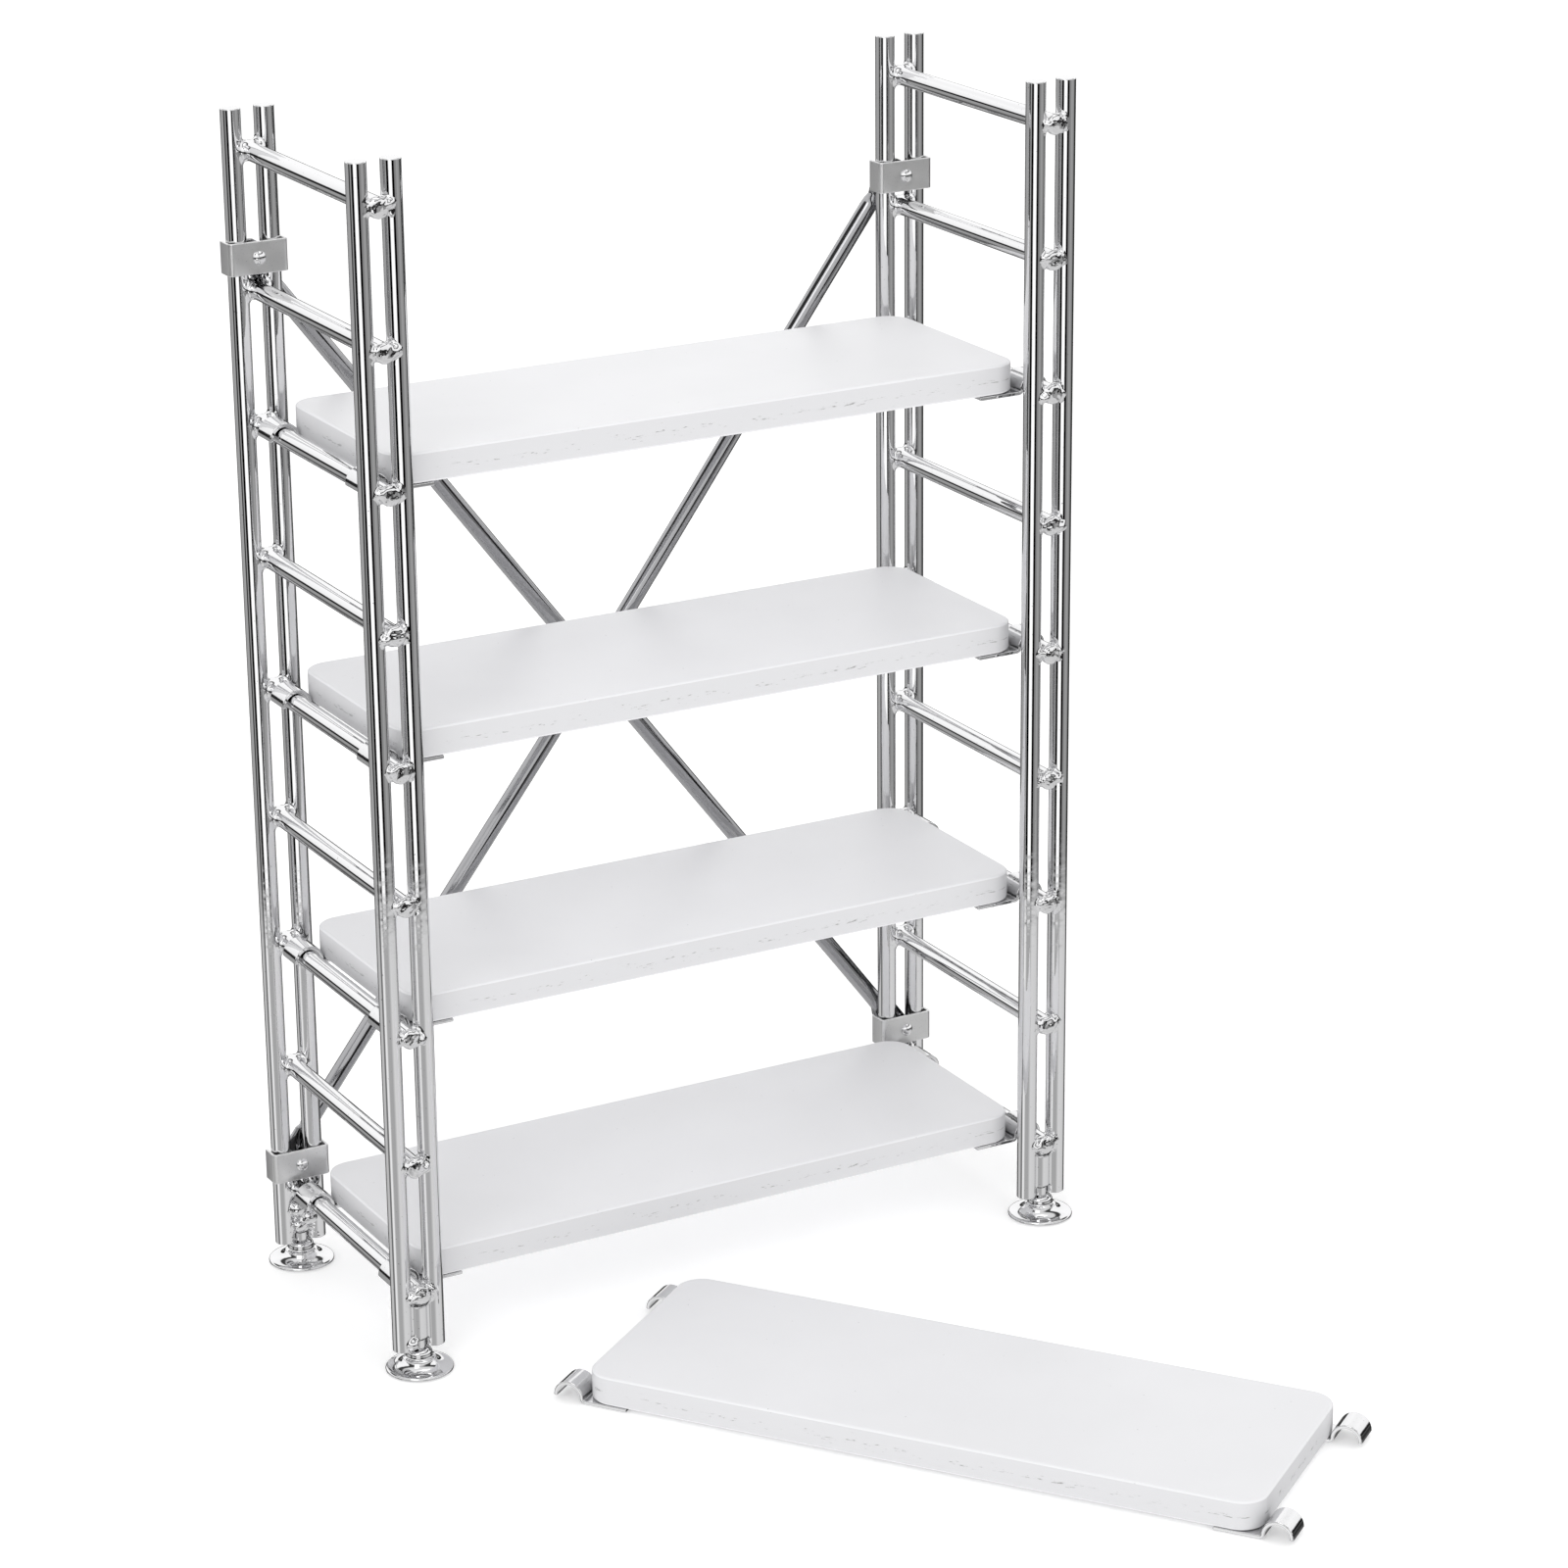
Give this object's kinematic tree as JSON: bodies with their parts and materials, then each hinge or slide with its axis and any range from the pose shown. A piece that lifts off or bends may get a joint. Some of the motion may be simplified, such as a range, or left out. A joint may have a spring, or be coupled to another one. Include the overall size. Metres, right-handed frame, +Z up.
{
  "type": "display rack",
  "caption": "Small chrome rod display rack built like a baker's scaffold, with ladder ends, a cross brace, screw feet and hook-on white shelves.",
  "frame": {"origin": "on the floor, at the centre of the footprint of the rack with the loose shelf lying in front of it", "axes": "+Z up, -Y towards the front of the rack, where the loose shelf lies, +X to the right seen from the front"},
  "size_m": [0.315, 0.4224, 0.482],
  "materials": {
    "frame_rod": "bright chrome plate on brazed steel rod",
    "hook_strip": "chrome plate on bent steel strip",
    "clip_plate": "chrome plate on folded steel plate",
    "brace_bar": "duller chrome plate on drawn steel bar",
    "screw_foot": "bright chrome plate on turned steel",
    "lacquered_board": "white satin lacquer on fibreboard"
  },
  "bodies": {
    "rack": {"front_brace": "brace_bar", "left_front_rail": "frame_rod", "left_lower_clip": "clip_plate", "left_rear_rail": "frame_rod", "left_rung_1": "frame_rod", "left_rung_2": "frame_rod", "left_rung_3": "frame_rod", "left_rung_4": "frame_rod", "left_rung_5": "frame_rod", "left_rung_6": "frame_rod", "left_rung_7": "frame_rod", "left_rung_8": "frame_rod", "left_rung_9": "frame_rod", "left_upper_clip": "clip_plate", "rear_brace": "brace_bar", "right_front_rail": "frame_rod", "right_lower_clip": "clip_plate", "right_rear_rail": "frame_rod", "right_rung_1": "frame_rod", "right_rung_2": "frame_rod", "right_rung_3": "frame_rod", "right_rung_4": "frame_rod", "right_rung_5": "frame_rod", "right_rung_6": "frame_rod", "right_rung_7": "frame_rod", "right_rung_8": "frame_rod", "right_rung_9": "frame_rod", "right_upper_clip": "clip_plate"},
    "shelf_1": {"shelf_1_board": "lacquered_board", "shelf_1_hook_left_front": "hook_strip", "shelf_1_hook_left_rear": "hook_strip", "shelf_1_hook_right_front": "hook_strip", "shelf_1_hook_right_rear": "hook_strip"},
    "shelf_2": {"shelf_2_board": "lacquered_board", "shelf_2_hook_left_front": "hook_strip", "shelf_2_hook_left_rear": "hook_strip", "shelf_2_hook_right_front": "hook_strip", "shelf_2_hook_right_rear": "hook_strip"},
    "shelf_3": {"shelf_3_board": "lacquered_board", "shelf_3_hook_left_front": "hook_strip", "shelf_3_hook_left_rear": "hook_strip", "shelf_3_hook_right_front": "hook_strip", "shelf_3_hook_right_rear": "hook_strip"},
    "shelf_4": {"shelf_4_board": "lacquered_board", "shelf_4_hook_left_front": "hook_strip", "shelf_4_hook_left_rear": "hook_strip", "shelf_4_hook_right_front": "hook_strip", "shelf_4_hook_right_rear": "hook_strip"},
    "loose_shelf": {"loose_shelf_board": "lacquered_board", "loose_shelf_hook_left_front": "hook_strip", "loose_shelf_hook_left_rear": "hook_strip", "loose_shelf_hook_right_front": "hook_strip", "loose_shelf_hook_right_rear": "hook_strip"},
    "left_front_foot": {"left_front_foot": "screw_foot"},
    "left_rear_foot": {"left_rear_foot": "screw_foot"},
    "right_front_foot": {"right_front_foot": "screw_foot"},
    "right_rear_foot": {"right_rear_foot": "screw_foot"}
  },
  "joints": [
    {"name": "shelf_1_lift", "type": "slide", "parent": "rack", "child": "shelf_1", "axis": [0, 0, 1], "range_m": [0, 0.042]},
    {"name": "shelf_2_lift", "type": "slide", "parent": "rack", "child": "shelf_2", "axis": [0, 0, 1], "range_m": [0, 0.042]},
    {"name": "shelf_3_lift", "type": "slide", "parent": "rack", "child": "shelf_3", "axis": [0, 0, 1], "range_m": [0, 0.042]},
    {"name": "shelf_4_lift", "type": "slide", "parent": "rack", "child": "shelf_4", "axis": [0, 0, 1], "range_m": [0, 0.042]},
    {"name": "loose_shelf_lift", "type": "slide", "parent": "rack", "child": "loose_shelf", "axis": [0, 0, 1], "range_m": [0, 0.1]},
    {"name": "left_front_foot_screw", "type": "slide", "parent": "rack", "child": "left_front_foot", "axis": [0, 0, -1], "range_m": [0, 0.008]},
    {"name": "left_rear_foot_screw", "type": "slide", "parent": "rack", "child": "left_rear_foot", "axis": [0, 0, -1], "range_m": [0, 0.008]},
    {"name": "right_front_foot_screw", "type": "slide", "parent": "rack", "child": "right_front_foot", "axis": [0, 0, -1], "range_m": [0, 0.008]},
    {"name": "right_rear_foot_screw", "type": "slide", "parent": "rack", "child": "right_rear_foot", "axis": [0, 0, -1], "range_m": [0, 0.008]}
  ]
}
